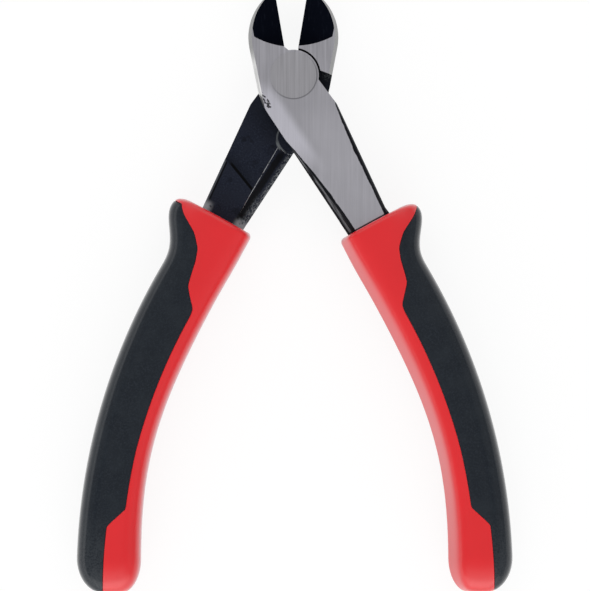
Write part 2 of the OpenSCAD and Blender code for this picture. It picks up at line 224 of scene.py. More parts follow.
def section(s, a, inset):
    """Off and z of the section at angles a, drawn in by inset. The inner edge has a facet on the ground-face side."""
    c, n = np.cos(a), np.sin(a)
    reach = np.where(c > 0, reach_out(s), reach_in(s)) - inset
    off, z = reach * bent(c), (reach_t(s) - inset) * bent(n)
    width = FACET_W * reach_in(s) / (GRIP_W / 2)
    crease = 1 - width / (reach_in(s) - inset)
    crease_z = (reach_t(s) - inset) * (1 - crease ** SECTION_POWER) ** (1 / SECTION_POWER)
    run = (-off - crease * (reach_in(s) - inset)) / width
    limit = crease_z + (FACET_FOOT - crease_z) * run
    faceted = z * (1 + np.abs(z / limit) ** FACET_SHARPNESS) ** (-1 / FACET_SHARPNESS)
    return off, np.where(z > 0, faceted, z)


def spread(length, count, radius):
    """Distances along an arc of that length, closer together at both ends, where the edge is rounded."""
    near = radius * EDGE_PLACES
    near = near * min(1.0, EDGE_SHARE * length / near[-1])
    middle = np.linspace(near[-1], length - near[-1], count - 2 * (len(near) - 1))
    return np.concatenate([near[:-1], middle, length - near[:-1][::-1]])


def arc(s, lift, start, stop, count, radius=0.0, inset=0.0):
    """Points of the section from one angle to another, spread along it, with both ends rounded down by radius."""
    off, z = section(s, np.linspace(start, stop, ARC_SAMPLES), inset)
    run = np.concatenate([[0], np.cumsum(np.hypot(np.diff(off), np.diff(z)))])
    at = spread(run[-1], count, max(radius, SEAM_R))
    off_at, z_at = np.interp(at, run, off), np.interp(at, run, z)
    if radius > 0:
        rising = run + TINY * np.arange(len(run))
        tangent = np.stack([np.interp(at, run, np.gradient(v, rising)) for v in (off, z)], 1)
        tangent /= np.maximum(np.linalg.norm(tangent, axis=1, keepdims=True), TINY)
        short = np.clip(radius - np.minimum(at, run[-1] - at), 0, radius)
        drop = radius - np.sqrt(np.maximum(radius ** 2 - short ** 2, 0))
        off_at = off_at - drop * tangent[:, 1]
        z_at = z_at + drop * tangent[:, 0]
    return grip_points(s, off_at, z_at, lift)


def stations():
    """Places along the grip: close together on the rounded mouth and end, evenly apart between them."""
    top = TOP_R * (1 - np.cos(END_STEPS[:-1]))
    plain = np.arange(TOP_R, GRIP_LEN - END_LEN, STATION_STEP)
    end = GRIP_LEN - END_LEN * (1 - np.sin(END_STEPS))
    return np.concatenate([top, plain, end])


def rounded_edge(s, way):
    """Stations and insets of an edge at s that is rounded over the next stretch of the grip, up or down."""
    return [(s + way * SEAM_R * (1 - math.cos(t)), SEAM_R * (1 - math.sin(t))) for t in EDGE_STEPS]


def sleeve_ring(s, lift, inset):
    """Ring of the sleeve: the part under the cover, drawn in by inset, then the bare part."""
    here = min(max(s, COVER_TOP), COVER_END)
    low, high = split_angle(here, -1, 0), split_angle(here, 1, 0)
    seat = inset > COVER_T
    step = 0.0 if seat else SEAM_ANGLE
    covered = arc(s, lift, low + step, high - step, SEAT_COUNT, inset=inset)
    bare = arc(s, lift, high, 2 * math.pi + low, BARE_COUNT, SEAM_R if seat else 0.0)
    return np.concatenate([covered, bare])


def tang_in(s):
    return np.interp(s, [0, TANG_LEN], [ARM_SHIFT - ARM_W / 2, -TANG_W / 2])


def tang_out(s):
    edge = ARM_SHIFT + ARM_W / 2
    return np.interp(s, [0, TANG_SEAT_LEN, TANG_ROOT, TANG_LEN], [edge, edge, TANG_REACH, TANG_W / 2])


def pocket_ring(s, n, gap, lift):
    low, high = tang_in(s) - gap, tang_out(s) + gap
    floor_z, roof_z = -ARM_STEP - gap, HALF_T + gap
    a = 2 * math.pi * np.arange(n) / n - math.pi / 2
    across = np.clip(np.cos(a) * math.sqrt(2), -1, 1)
    up = np.clip(np.sin(a) * math.sqrt(2), -1, 1)
    return grip_points(s, (low + high) / 2 + (high - low) / 2 * across,
                       (floor_z + roof_z) / 2 + (roof_z - floor_z) / 2 * up, lift)


def skin(rings):
    """Quads between rings that follow each other and close on themselves."""
    n = len(rings[0])
    return [(k * n + i, k * n + (i + 1) % n, (k + 1) * n + (i + 1) % n, (k + 1) * n + i)
            for k in range(len(rings) - 1) for i in range(n)]


def sleeve_shape(lift):
    """Points and faces of a sleeve: the outside from its end up to the mouth, then the pocket down to its bottom."""
    upper, lower = COVER_TOP - SEAT_RUN, COVER_END + SEAT_RUN
    seat = [s for s in stations() if upper + 2 * SEAT_RUN < s < lower - 2 * SEAT_RUN]
    levels = [(s, 0.0) for s in stations() if s < upper - EDGE_CLEAR]
    levels += rounded_edge(upper, -1)[::-1]
    levels += [(s, COVER_T + COVER_GAP) for s in [COVER_TOP] + seat + [COVER_END]]
    levels += rounded_edge(lower, 1)
    levels += [(s, 0.0) for s in stations() if lower + EDGE_CLEAR < s]
    rings = [sleeve_ring(s, lift, inset) for s, inset in reversed(levels)]
    n = len(rings[0])
    if lift > 0:
        rings.append(pocket_ring(0.0, n, POCKET_GAP + MOUTH_SHARE * lift, lift))
    depths = np.concatenate([[0, TANG_SEAT_LEN, TANG_ROOT], POCKET_SHARES * TANG_LEN, [POCKET_END]])
    rings += [pocket_ring(s, n, POCKET_GAP, min(lift, 0.0)) for s in depths]
    faces = skin(rings)
    middles = [grip_points(s, np.float64(0), np.float64(0), 0.0) for s in (GRIP_LEN, POCKET_END)]
    verts = np.concatenate(rings + [np.array(middles)])
    last = (len(rings) - 1) * n
    for i in range(n):
        j = (i + 1) % n
        faces += [(j, i, len(verts) - 2), (last + i, last + j, len(verts) - 1)]
    return verts, faces


def cover_shape(lift):
    """Points and faces of a cover: a shell from its lower end up, with both ends closed by strips."""
    upper, lower = COVER_TOP + COVER_GAP, COVER_END - COVER_GAP
    levels = rounded_edge(upper, 1)
    levels += [(s, 0.0) for s in stations() if upper + EDGE_CLEAR < s < lower - EDGE_CLEAR]
    levels += rounded_edge(lower, -1)[::-1]
    rings = []
    for s, inset in reversed(levels):
        low, high = split_angle(s, -1, COVER_GAP), split_angle(s, 1, COVER_GAP)
        outside = arc(s, lift, low, high, SEAT_COUNT, SEAM_R, inset)
        inside = arc(s, lift, low, high, SEAT_COUNT, inset=COVER_T)
        rings.append(np.concatenate([outside, inside[::-1]]))
    n = len(rings[0])
    last = (len(rings) - 1) * n
    faces = skin(rings)
    for i in range(SEAT_COUNT - 1):
        faces += [(n - 1 - i, n - 2 - i, i + 1, i), (last + i, last + i + 1, last + n - 2 - i, last + n - 1 - i)]
    return np.concatenate(rings), faces


def moulding(name, verts, faces, place, sharp_angle, material):
    mesh = bpy.data.meshes.new(name)
    mesh.from_pydata([tuple(place @ Vector(v * MM)) for v in verts], [], faces)
    mesh.validate()
    bm = bmesh.new()
    bm.from_mesh(mesh)
    bmesh.ops.remove_doubles(bm, verts=bm.verts, dist=WELD)
    bmesh.ops.recalc_face_normals(bm, faces=bm.faces)
    bm.to_mesh(mesh)
    bm.free()
    for p in mesh.polygons:
        p.use_smooth = True
    mesh.set_sharp_from_angle(angle=math.radians(sharp_angle))
    mesh.materials.append(material)
    return add_object(name, mesh)


# Materials

class Nodes:
    """Short way to write a node tree."""

    def __init__(self, tree):
        self.tree = tree
        tree.nodes.clear()

    def add(self, kind, props=None, **inputs):
        node = self.tree.nodes.new(kind)
        for key, value in (props or {}).items():
            setattr(node, key, value)
        self.fill(node, **inputs)
        return node

    def fill(self, node, **inputs):
        """Links or sets inputs, each by its number, as in i0, or by its name with _ for a space."""
        for key, value in inputs.items():
            by_number = key[0] == "i" and key[1:].isdigit()
            socket = node.inputs[int(key[1:]) if by_number else key.replace("_", " ")]
            if isinstance(value, bpy.types.NodeSocket):
                self.tree.links.new(value, socket)
            else:
                socket.default_value = value

    def math(self, operation, a, b=0.0):
        return self.add("ShaderNodeMath", {"operation": operation}, i0=a, i1=b).outputs[0]

    def chain(self, operation, values):
        result = values[0]
        for value in values[1:]:
            result = self.math(operation, result, value)
        return result

    def times(self, *factors):
        return self.chain("MULTIPLY", factors)

    def plus(self, *terms):
        return self.chain("ADD", terms)

    def minus(self, a, b):
        return self.math("SUBTRACT", a, b)

    def most(self, *values):
        return self.chain("MAXIMUM", values)

    def size(self, a):
        return self.math("ABSOLUTE", a)

    def vector(self, operation, a, b=(0, 0, 0), out=0):
        return self.add("ShaderNodeVectorMath", {"operation": operation}, i0=a, i1=b).outputs[out]

    def split(self, a):
        return self.add("ShaderNodeSeparateXYZ", Vector=a).outputs[:3]

    def away(self, where, spot):
        """Distance from a spot, seen along z."""
        return self.vector("DISTANCE", self.mapping(where, scale=(1, 1, 0)), (*spot, 0), 1)

    def past(self, where, spot, way):
        """How far a point is past a spot, in the direction given."""
        return self.vector("DOT_PRODUCT", self.vector("SUBTRACT", where, (*spot, 0)), (*way, 0), 1)

    def ramp(self, value, low, high, to_low=0.0, to_high=1.0, soft=True):
        """Value taken from low..high to another range, and held outside."""
        kind = "SMOOTHSTEP" if soft else "LINEAR"
        return self.add("ShaderNodeMapRange", {"interpolation_type": kind}, i0=value, i1=low, i2=high, i3=to_low,
                        i4=to_high).outputs[0]

    def curve(self, value, points):
        """Straight lines through the points, held before the first and after the last."""
        result = points[0][1]
        for (a, at_a), (b, at_b) in zip(points, points[1:]):
            result = self.plus(self.ramp(value, a, b, 0.0, at_b - at_a, soft=False), result)
        return result

    def mix(self, factor, a, b):
        return self.add("ShaderNodeMix", {"data_type": "RGBA"}, i0=factor, i6=a, i7=b).outputs[2]

    def noise(self, where, scale, detail=2.0, roughness=0.5):
        return self.add("ShaderNodeTexNoise", Vector=where, Scale=scale, Detail=detail,
                        Roughness=roughness).outputs[0]

    def mapping(self, where, location=(0, 0, 0), rotation=(0, 0, 0), scale=(1, 1, 1)):
        return self.add("ShaderNodeMapping", Vector=where, Location=location, Rotation=rotation,
                        Scale=scale).outputs[0]

    def bump(self, height, strength, depth):
        return self.add("ShaderNodeBump", Strength=strength, Distance=depth * MM, Height=height).outputs[0]

    def rays(self, *kinds):
        """1 for rays of those kinds, 0 for others."""
        path = self.add("ShaderNodeLightPath")
        return self.most(*(path.outputs[f"Is {kind} Ray"] for kind in kinds))


def new_material(name):
    mat = bpy.data.materials.new(name)
    mat.use_nodes = True
    n = Nodes(mat.node_tree)
    bsdf = n.add("ShaderNodeBsdfPrincipled")
    n.add("ShaderNodeOutputMaterial", Surface=bsdf.outputs[0])
    where = n.add("ShaderNodeTexCoord").outputs["Object"]
    return mat, n, bsdf, where


def grey(v):
    return (v, v, v, 1)


# Colours of the finishes, of the marks on them, and of painted shade, highlights and reflections
SKIN_AND_SHADE_BLACK = (0.0050, 0.0058, 0.0085, 1)
SKIN_HIGHLIGHT = (0.17, 0.175, 0.185, 1)
SKIN_EDGE_HIGHLIGHT = (0.045, 0.048, 0.052, 1)
SIDE_DULL = (grey(0.10), grey(0.17))
SIDE_SHINE = (grey(0.80), grey(0.50))
BEVEL_PLAIN = (0.0022, 0.0031, 0.0070, 1)
BEVEL_MARK = (0.010, 0.0125, 0.021, 1)
OXIDE_PLAIN = (0.0084, 0.0112, 0.0222, 1)
OXIDE_SPECKLE = (0.0270, 0.0330, 0.0515, 1)
OXIDE_PATCH = (0.0125, 0.0155, 0.0265, 1)
OXIDE_OILY_SHADE = (0.0030, 0.0040, 0.0080, 1)
SHADE_AND_LINE_DARK = (0.0006, 0.0009, 0.0020, 1)
BARE_STEEL_AND_HIGHLIGHT = (0.19, 0.205, 0.215, 1)
MOUTH_GLINT = (0.34, 0.40, 0.42, 1)
EDGE_PLAIN = (0.012, 0.014, 0.018, 1)
EDGE_WORN_HIGHLIT = (0.42, 0.43, 0.45, 1)
REDS = ((0.77, 0.001, 0.006, 1), (0.85, 0.003, 0.010, 1))
RED_BLOOM = (0.8, 0.9, 1.0, 1)
RUBBER_PLAIN = (0.0078, 0.0118, 0.0182, 1)
RUBBER_FLECK = (0.0185, 0.0250, 0.0345, 1)
RUBBER_CLOUD = (0.0175, 0.0235, 0.0310, 1)
RUBBER_SCUFF_SHEEN = (0.040, 0.046, 0.053, 1)

# Ground steel: tone, tint, and the lines of the grinding, which run along the tool
GROUND_TONE = 0.495
RIVET_TONE = 0.50
STEEL_GREEN = 0.985
GROUND_BLUE = 1.07
RIVET_BLUE = 1.05
LINE_STRETCH = (1, 0.02, 1)
FINE_LINES = 2600.0
COARSE_LINES = 800.0

# Places on a lever, in its own millimetres: closed, jaw on the left, mid-plane at 0
ARM_IN = Vector(spine(0, tang_in(0)))
ARM_OUT = Vector(spine(0, tang_out(0)))
FLANK = Vector((-HALF_W, -FLANK_DROP))
ARM_WAY = (ARM_IN - FLANK).normalized()
ARM_INWARD = Vector((-ARM_WAY.y, ARM_WAY.x))
LAND_MID = FLANK + ARM_WAY * (FLANK.y + LAND_DROP) / -ARM_WAY.y + ARM_INWARD * LAND_INSET
STEP_WAY = Vector((math.cos(math.radians(STEP_ANGLE)), math.sin(math.radians(STEP_ANGLE))))
STEP_DOWN = Vector((STEP_WAY.y, -STEP_WAY.x))

# Marks on a lever: where the head turns into the arm, the ring of painted shade round the rivet, how far the black
# skin reaches in from the arm's edges at each height, the nicks, the rubbed spot on the lap, the painted highlight
# spot on the land, and the stretch of the jaw's side that is polished and carries a painted reflection
HEAD_FOOT = (-7.0, -1.0)
RING_R = 5.95
SKIN_IN = ((-15.5, 0.0), (-19, 0.5), (-22, 0.95), (-27, 1.6), (-32, 2.05), (-42, 2.25))
SKIN_IN_TOP = (-15.2, -16.8)
SKIN_OUT = ((-8, 0.30), (-9.5, 0.40), (-14.5, 0.75), (-22, 1.15), (-30, 1.0), (-37, 0.95))
SKIN_OUT_TOP = (-7.6, -8.6)
SKIN_SOFT = 0.07
NICK_AT = Vector((-8.25, -4.95))
NICK_SQUEEZE = 0.3
NICK_SPOT = (NICK_SQUEEZE * NICK_AT.dot(ARM_WAY), NICK_AT.dot(ARM_INWARD), HALF_T)
LAND_HIGHLIGHT = (0.3, -18.9)
LAP_RUB = (-8.7, 1.9)
POLISH_SHINE_Y = (9.0, 4.0)
POLISH_SHINE_Z = (-0.8, 0.8)

# Heights, in metres, at which the covers' paler lower ends begin and are at their palest: partly scuffing and partly
# a painted sheen
COVER_SCUFF_SHEEN = (-0.108, -0.124)


def lever_space(n, where, front):
    """Coordinates in millimetres of the lever that a piece belongs to: closed, jaw on the left, mid-plane at 0."""
    turn = math.radians(-HALF_ANGLE)
    scale = (1 / MM, 1 / MM, 1 / MM)
    if front:
        return n.mapping(where, (0, 0, -HALF_T), (0, 0, turn), scale)
    return n.mapping(where, (0, 0, HALF_T), (0, math.pi, turn), scale)


def edge_space(n, own, start, stop):
    """Depth inside the edge from start to stop, which has the lever on its left, and coordinates along it."""
    way = (stop - start).normalized()
    turned = n.mapping(own, rotation=(0, 0, -math.atan2(way.y, way.x)))
    return n.past(own, start, (-way.y, way.x)), turned


def mouth_distance(n, x, y, front):
    """How far a point of a lever is above the mouth of its grip, in millimetres."""
    lift = RIGHT_LIFT if front else LEFT_LIFT
    across, up = n.minus(x, SPINE_X - SPINE_R), n.plus(y, SPINE_DROP)
    off = n.minus(n.math("SQRT", n.plus(n.times(across, across), n.times(up, up))), SPINE_R)
    along = n.minus(GRIP_RISE, n.times(n.math("ARCTAN2", up, across), SPINE_R))
    return n.minus(n.plus(n.times(off, TILT_SHARE), -lift), along)


def grinding(n, where):
    """Fine and coarse lines of the grinding."""
    lines = n.mapping(where, scale=LINE_STRETCH)
    return n.noise(lines, FINE_LINES, 3.0, 0.6), n.noise(lines, COARSE_LINES, 2.0, 0.5)


def steel_color(n, tone, blue):
    return n.add("ShaderNodeCombineColor", Red=tone, Green=n.times(tone, STEEL_GREEN),
                 Blue=n.times(tone, blue)).outputs[0]


def black_skin(n, y, depth, along, limits, top, scale, rough):
    """Where black skin is left along an edge, with a ragged border, and how far it reaches in there."""
    ragged = n.noise(n.mapping(along, scale=(0.3, 1, 1)), scale, 3.0, 0.65)
    limit = n.plus(n.curve(y, limits), n.times(n.minus(ragged, 0.5), rough))
    return n.times(n.ramp(n.minus(depth, limit), SKIN_SOFT, -SKIN_SOFT), n.ramp(y, *top)), limit


def ground_steel(name, front):
    """Flat-ground steel with fine grinding lines, black skin left along the arm's edges and nicks, with a painted
    reflection, painted highlights, and painted shade in a ring round the rivet and at the grip's mouth.
    """
    mat, n, bsdf, where = new_material(name)
    own = lever_space(n, where, front)
    x, y, _ = n.split(own)
    fine, coarse = grinding(n, where)
    cloud = n.noise(own, 0.11, 2.0, 0.5)
    inner, along_inner = edge_space(n, own, FLANK, ARM_IN)
    outer, along_outer = edge_space(n, own, ARM_OUT, Vector(NECK))
    # Painted reflection: a lighter band down the inner side from the rivet's height, and a lighter arm
    reflection_band = n.times(n.ramp(inner, 5.6, 3.0), n.ramp(y, 1.0, -4.5), n.ramp(y, -27.0, -16.0))
    arm_reflection = n.times(n.ramp(y, -7.0, -16.0), n.ramp(inner, 3.0, 9.0, 0.5, 1.0))
    # Grinding lines, stronger on the head than on the arm
    lined = n.plus(n.times(n.minus(fine, 0.5), n.ramp(y, *HEAD_FOOT, 0.14, 0.36)),
                   n.times(n.minus(coarse, 0.5), n.ramp(y, *HEAD_FOOT, 0.10, 0.26)))
    tone = n.plus(GROUND_TONE, lined, n.times(cloud, 0.10), n.times(reflection_band, 0.27), n.times(arm_reflection, 0.07))
    # Painted shade: a dark ring in the gap round the rivet, strongest below it
    off_ring = n.size(n.minus(n.away(own, (0, 0)), RING_R))
    below = n.ramp(n.plus(n.times(x, 0.45), n.times(y, -0.9)), -3.0, 4.5, 0.1, 1.0)
    tone = n.times(tone, n.minus(1.0, n.times(n.ramp(off_ring, 0.34, 0.08), below, 0.45)))
    # The painted reflection band is a little bluer
    color = steel_color(n, tone, n.plus(GROUND_BLUE, n.times(reflection_band, 0.02)))
    # Black skin along the inner edge, with painted highlight streaks
    black_in, limit = black_skin(n, y, inner, along_inner, SKIN_IN, SKIN_IN_TOP, 1.1, 0.7)
    streak = n.noise(n.mapping(along_inner, scale=(0.05, 1, 1)), 1.6, 2.0, 0.55)
    middle = n.size(n.minus(n.math("DIVIDE", inner, n.most(limit, 0.1)), 0.42))
    highlight_streaks = n.times(n.ramp(streak, 0.36, 0.56), n.ramp(middle, 0.24, 0.1), n.ramp(y, -17.0, -22.0))
    color = n.mix(black_in, color, n.mix(n.times(highlight_streaks, 0.85), SKIN_AND_SHADE_BLACK, SKIN_HIGHLIGHT))
    # Black skin along the outer edge, with a painted highlight in dark grey on the very edge
    black_out, _ = black_skin(n, y, outer, along_outer, SKIN_OUT, SKIN_OUT_TOP, 0.9, 0.75)
    color = n.mix(black_out, color, n.mix(n.ramp(outer, 0.4, 0.2), SKIN_AND_SHADE_BLACK, SKIN_EDGE_HIGHLIGHT))
    # Nicks where the head turns into the arm, in short dashes along the edge
    chips = n.noise(n.mapping(along_inner, (0.4, 0, 0), scale=(0.6, 1, 1)), 2.7, 1.0, 0.5)
    spot = n.vector("DISTANCE", n.mapping(along_inner, scale=(NICK_SQUEEZE, 1, 1)), NICK_SPOT, 1)
    nicks_and_shade = n.ramp(n.plus(chips, n.ramp(spot, 1.1, 0.6, -0.5, 0.12)), 0.57, 0.6)
    # Painted shade: a dark line where the arm goes into the grip, carried with the nicks
    nicks_and_shade = n.most(nicks_and_shade, n.ramp(mouth_distance(n, x, y, front), 0.5, 0.3))
    # The nicks and the painted shade line, in black
    color = n.mix(n.times(nicks_and_shade, 0.95), color, SKIN_AND_SHADE_BLACK)
    black = n.most(black_in, black_out, nicks_and_shade)
    n.fill(bsdf, Base_Color=color, Metallic=n.minus(1.0, black), Specular_IOR_Level=0.1,
           Roughness=n.plus(0.27, n.times(fine, 0.14), n.times(black, 0.2)),
           Normal=n.bump(n.minus(fine, n.times(nicks_and_shade, 2.0)), 0.25, 0.02))
    return mat


def rivet_steel():
    """Rivet heads ground over with the face, with a faint light streak."""
    mat, n, bsdf, where = new_material("rivet_steel")
    x, _, _ = n.split(n.mapping(where, scale=(1 / MM, 1 / MM, 1 / MM)))
    fine, coarse = grinding(n, where)
    cloud = n.noise(where, 160.0, 2.0, 0.5)
    streak = n.ramp(n.size(n.minus(x, 0.9)), 0.75, 0.2)
    lined = n.plus(n.times(n.minus(fine, 0.5), 0.26), n.times(n.minus(coarse, 0.5), 0.2))
    tone = n.plus(RIVET_TONE, lined, n.times(cloud, 0.05), n.times(streak, 0.035))
    n.fill(bsdf, Base_Color=steel_color(n, tone, RIVET_BLUE), Metallic=1.0,
           Roughness=n.plus(0.28, n.times(fine, 0.14)), Normal=n.bump(fine, 0.25, 0.02))
    return mat


def side_steel(name, front):
    """Drafted side of the jaw: dull beside the bevel, bright further down on the ground-face half, the bright stretch
    partly polished and partly a painted reflection.
    """
    mat, n, bsdf, where = new_material(name)
    own = lever_space(n, where, front)
    _, y, z = n.split(own)
    grain = n.noise(own, 0.9, 3.0, 0.6)
    glint_blotch = n.noise(n.mapping(own, scale=(1, 0.25, 0.6)), 0.8, 2.0, 0.5)
    # Bright stretch: partly polish, partly a painted reflection
    bright = n.times(n.ramp(y, *POLISH_SHINE_Y), n.ramp(z, *POLISH_SHINE_Z))
    dull = n.mix(grain, *SIDE_DULL)
    shine = n.mix(n.ramp(glint_blotch, 0.3, 0.7), *SIDE_SHINE)
    n.fill(bsdf, Base_Color=n.mix(bright, dull, shine), Metallic=1.0, Roughness=n.plus(0.2, n.times(grain, 0.2)),
           Normal=n.bump(grain, 0.2, 0.03))
    return mat


def bevel_black():
    """Blackened cutting bevels: dull, with faint marks of the grinding wheel."""
    mat, n, bsdf, where = new_material("bevel_black")
    marks = n.noise(n.mapping(where, scale=(1, 0.12, 1)), 2400.0, 3.0, 0.65)
    cloud = n.noise(where, 300.0, 2.0, 0.5)
    n.fill(bsdf, Base_Color=n.mix(n.ramp(marks, 0.55, 0.8), BEVEL_PLAIN, BEVEL_MARK), Specular_IOR_Level=0.015,
           Roughness=n.plus(0.45, n.times(cloud, 0.2)), Normal=n.bump(marks, 0.2, 0.03))
    return mat


def black_oxide(name, front):
    """Blued forging skin: nearly black, faintly blue, speckled, and grey along the arm's inner edge, partly rubbed
    and partly a painted reflection; with painted shade, highlights and glints.
    """
    mat, n, bsdf, where = new_material(name)
    own = lever_space(n, where, front)
    x, y, z = n.split(own)
    speckle = n.noise(own, 2.4, 3.0, 0.7)
    patch = n.noise(own, 0.26, 3.0, 0.6)
    color = n.mix(n.ramp(speckle, 0.4, 0.8), OXIDE_PLAIN, OXIDE_SPECKLE)
    color = n.mix(n.times(n.ramp(patch, 0.42, 0.7), 0.6), color, OXIDE_PATCH)
    # Darker in oily patches, and with painted shade round the joint, where the other lever overlaps
    oily_and_shade = n.most(n.times(n.ramp(patch, 0.45, 0.3), 0.7), n.ramp(n.away(own, (0, 0)), 21.0, 12.0, 0.0, 0.45))
    color = n.mix(oily_and_shade, color, OXIDE_OILY_SHADE)
    inner, along_inner = edge_space(n, own, FLANK, ARM_IN)
    outer, _ = edge_space(n, own, ARM_OUT, Vector(NECK))
    step = n.past(own, STEP_IN, STEP_DOWN)
    under = n.ramp(z, 3.0, 2.4)
    mating = n.ramp(z, 0.6, 0.2)
    lower = n.times(under, n.ramp(y, -18.0, -21.0))
    # Painted shade in the crease at the step and in a band beside the ridge, and a dark line beside the outer edge
    crease = n.times(n.ramp(step, -0.75, -0.5), n.ramp(step, 0.1, 0.0), mating, n.ramp(outer, 1.3, 2.3))
    groove = n.times(n.ramp(inner, 1.3, 1.9), n.ramp(inner, 3.5, 3.0), lower, 0.9)
    rim = n.times(n.ramp(outer, 0.5, 0.62), n.ramp(outer, 1.0, 0.85), n.ramp(step, 0.1, 0.4), mating)
    color = n.mix(n.most(crease, groove, rim), color, SHADE_AND_LINE_DARK)
    # Bare steel showing through in grains on the lap, and in grains along the inner edge that are partly a painted
    # reflection; a painted highlight along the outer rim and in an arc round the land, with a painted highlight spot
    # in it
    grains = n.ramp(n.noise(n.mapping(along_inner, scale=(0.6, 1, 1)), 2.6, 3.0, 0.75), 0.42, 0.62)
    edge = n.most(n.ramp(inner, 1.5, 0.3), n.times(n.ramp(inner, 2.4, 0.8), n.ramp(y, -29.0, -36.0), 0.8))
    rubbed_and_reflection = n.times(grains, edge, lower)
    lap = n.times(grains, n.ramp(n.away(own, LAP_RUB), 2.0, 0.6), 0.6)
    rim_highlight = n.times(n.ramp(outer, 0.55, 0.35), n.ramp(step, 0.0, 0.5), mating, 0.3)
    off_land = n.size(n.minus(n.away(own, LAND_MID), LAND_R))
    land_arc_highlight = n.times(n.ramp(off_land, 0.32, 0.1), n.ramp(n.plus(x, n.times(y, -0.4)), 5.6, 6.6), mating, 0.5)
    spot = n.times(n.ramp(n.away(own, LAND_HIGHLIGHT), 2.6, 1.0), n.ramp(off_land, 0.55, 0.2), mating, 0.8)
    color = n.mix(n.most(rubbed_and_reflection, land_arc_highlight, spot, rim_highlight, lap), color, BARE_STEEL_AND_HIGHLIGHT)
    # Painted glints above the grip, beside the arm's edges
    mouth = n.ramp(mouth_distance(n, x, y, front), 2.9, 0.8)
    zone = n.most(n.ramp(outer, 2.8, 0.8), n.times(n.ramp(inner, 3.6, 1.8), 0.8))
    glint_blotch = n.times(mouth, zone, n.ramp(n.noise(own, 0.75, 3.0, 0.6), 0.26, 0.46), under, 0.95)
    color = n.mix(glint_blotch, color, MOUTH_GLINT)
    n.fill(bsdf, Base_Color=color, Specular_IOR_Level=0.12, Roughness=n.plus(0.34, n.times(patch, 0.2)),
           Normal=n.bump(n.plus(n.times(speckle, 0.4), patch), 0.3, 0.06))
    return mat


def worn_highlit_edge():
    """Edge where the skin is rubbed off the steel, in patches that also stand as a painted highlight."""
    mat, n, bsdf, where = new_material("worn_highlit_edge")
    rub = n.noise(where, 900.0, 3.0, 0.65)
    worn_highlit = n.ramp(rub, 0.3, 0.55)
    n.fill(bsdf, Base_Color=n.mix(worn_highlit, EDGE_PLAIN, EDGE_WORN_HIGHLIT), Metallic=n.times(worn_highlit, 0.9),
           Roughness=n.plus(0.36, n.times(rub, 0.15)), Normal=n.bump(rub, 0.3, 0.04))
    return mat


def red_plastic():
    """Hard red moulding under a soft gloss, with a pale bloom on its flanks."""
    mat, n, bsdf, where = new_material("red_plastic")
    cloud = n.noise(where, 120.0, 3.0, 0.5)
    peel = n.noise(where, 1100.0, 2.0, 0.5)
    n.fill(bsdf, Base_Color=n.mix(cloud, *REDS), Roughness=n.plus(0.34, n.times(peel, 0.06)),
           Specular_IOR_Level=0.3, Coat_Weight=1.0, Coat_Roughness=0.3, Coat_IOR=1.5,
           Sheen_Weight=0.3, Sheen_Roughness=0.35, Sheen_Tint=RED_BLOOM, Normal=n.bump(peel, 0.12, 0.04))
    return mat


def black_rubber():
    """Soft black moulding with a fine pebbled grain under a thin gloss, paler at its lower end, partly scuffed and
    partly a painted sheen.
    """
    mat, n, bsdf, where = new_material("black_rubber")
    cells = n.add("ShaderNodeTexVoronoi", {"feature": "SMOOTH_F1"}, Vector=where, Scale=1500.0).outputs[0]
    fleck = n.noise(where, 2200.0, 3.0, 0.7)
    cloud = n.noise(where, 160.0, 3.0, 0.55)
    color = n.mix(n.ramp(fleck, 0.4, 0.8), RUBBER_PLAIN, RUBBER_FLECK)
    color = n.mix(n.times(n.ramp(cloud, 0.4, 0.7), 0.5), color, RUBBER_CLOUD)
    # Paler lower end: partly scuffing, partly a painted sheen
    scuffed_and_sheen = n.times(n.ramp(n.split(where)[1], *COVER_SCUFF_SHEEN), n.ramp(fleck, 0.3, 0.6))
    color = n.mix(n.times(scuffed_and_sheen, 0.6), color, RUBBER_SCUFF_SHEEN)
    n.fill(bsdf, Base_Color=color, Specular_IOR_Level=0.05, Roughness=n.plus(0.5, n.times(fleck, 0.12)),
           Coat_Weight=1.0, Coat_Roughness=0.17, Coat_IOR=1.33,
           Normal=n.bump(n.plus(n.times(cells, 0.8), n.times(fleck, 0.5)), 0.35, 0.08))
    return mat


# Steel pieces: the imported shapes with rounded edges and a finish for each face

STEEL_WELD = 2e-6
LEVEL_ANGLE = math.radians(0.6)
SMOOTH_ANGLE = math.radians(24)
LEAD_ANGLE = math.radians(70)
ROUND_SEGMENTS = 3
SMALL_AREA = 1e-12
RIVET_MARGIN = 0.3


def loop_normals(bm, made):
    """Normals for each corner: flat faces stay flat, shallow steps are smooth, and rounded edges lead over."""
    normals = []
    for f in bm.faces:
        for loop in f.loops:
            around = loop.vert.link_faces
            plain = [g for g in around if not g[made]]
            if f[made] and not plain:
                parts = [(g.normal, g.calc_area()) for g in around]
            else:
                limit = LEAD_ANGLE if f[made] else SMOOTH_ANGLE
                parts = [(g.normal, g.calc_area()) for g in plain if g.normal.angle(f.normal, 0.0) < limit]
            total = sum((v * max(a, SMALL_AREA) for v, a in parts), Vector())
            normals.append(total.normalized() if total.length > 0 else f.normal.copy())
    return normals


def on_rivet(point):
    """Whether a point of a lever is on the edge round a rivet head, which stays sharp."""
    return math.hypot(point.x, point.y) < RIVET_R + RIVET_MARGIN


